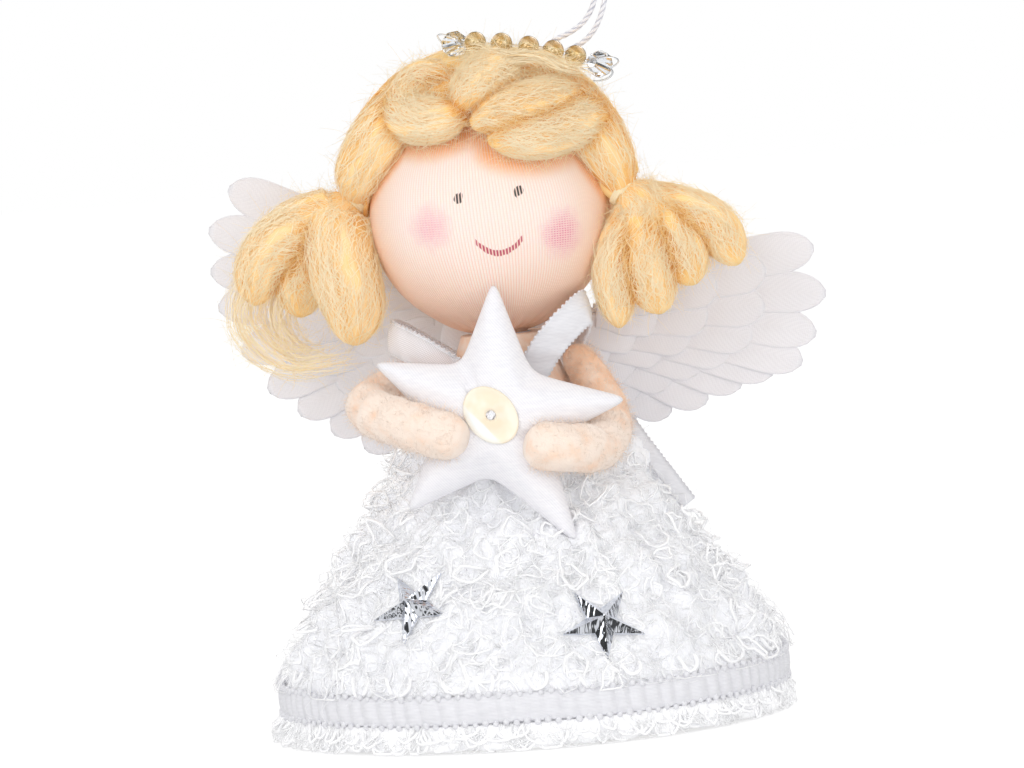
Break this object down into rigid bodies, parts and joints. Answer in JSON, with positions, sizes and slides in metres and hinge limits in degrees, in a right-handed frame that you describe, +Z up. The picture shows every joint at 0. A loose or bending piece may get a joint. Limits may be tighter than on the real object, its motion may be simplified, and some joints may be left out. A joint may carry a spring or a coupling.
{
  "type": "soft angel ornament",
  "caption": "Soft standing angel ornament with wool pigtails, feather wings, a loop-pile skirt and a padded star in its arms; a cord loop hangs it up.",
  "frame": {"origin": "centre of the underside of the base disc, on the floor", "axes": "+Z up along the body, -Y is the way the face looks, +X to the right in the picture"},
  "size_m": [0.1163, 0.0918, 0.1612],
  "materials": {
    "board": "matte card",
    "filling": "loose polyester filling",
    "pile": "loop-pile cloth",
    "satin": "satin weave",
    "lace": "sheer lace",
    "felt": "brushed felt",
    "knit": "fine ribbed knit",
    "wool": "loose wool",
    "cord": "twisted cord",
    "feather": "embossed feathers",
    "filament": "clear filament",
    "gold_bead": "lustred glass",
    "crystal": "clear facets",
    "sequin": "iridescent film",
    "mirror_star": "mirror-backed facets",
    "wire": "bare wire"
  },
  "bodies": {
    "body": {"base_disc": "board", "body_filling": "filling", "skirt_cover": "pile", "hem_ribbon": "satin", "hem_ruffle": "pile", "torso": "felt", "neck_thread": "cord", "bodice_band": "satin", "left_strap": "lace", "right_strap": "satin", "ribbon_tail": "satin", "head_cover": "knit", "head_filling": "filling", "hair_cap": "wool", "fringe_lock_1": "wool", "fringe_lock_2": "wool", "fringe_lock_3": "wool", "fringe_lock_4": "wool", "left_hair_tie": "cord", "right_hair_tie": "cord", "halo_filament": "filament", "halo_bead_1": "gold_bead", "halo_bead_2": "gold_bead", "halo_bead_3": "gold_bead", "halo_bead_4": "gold_bead", "halo_bead_5": "gold_bead", "left_halo_crystal": "crystal", "right_halo_crystal": "crystal", "hang_knot": "cord", "hang_loop": "cord", "left_wing": "feather", "right_wing": "feather", "wing_bridge": "felt", "star_front_panel": "satin", "star_back_panel": "satin", "star_filling": "filling", "star_sequin": "sequin", "sequin_stitch": "cord", "left_skirt_star": "mirror_star", "right_skirt_star": "mirror_star"},
    "left_pigtail": {"left_pigtail": "wool"},
    "right_pigtail": {"right_pigtail": "wool"},
    "left_arm": {"left_arm": "felt", "left_arm_wire": "wire"},
    "right_arm": {"right_arm": "felt", "right_arm_wire": "wire"}
  },
  "joints": [
    {"name": "left_pigtail_swing", "type": "hinge", "parent": "body", "child": "left_pigtail", "pos_m": [-0.02917, -0.00185, 0.09608], "axis": [0, 1, 0], "range_deg": [0, 35]},
    {"name": "right_pigtail_swing", "type": "hinge", "parent": "body", "child": "right_pigtail", "pos_m": [0.02661, -0.00468, 0.09402], "axis": [0, -1, 0], "range_deg": [0, 35]},
    {"name": "left_arm_open", "type": "hinge", "parent": "body", "child": "left_arm", "pos_m": [-0.0131, -0.002, 0.066], "axis": [0, 0, -1], "range_deg": [0, 35]},
    {"name": "right_arm_open", "type": "hinge", "parent": "body", "child": "right_arm", "pos_m": [0.0131, -0.002, 0.066], "axis": [0, 0, 1], "range_deg": [0, 35]}
  ]
}
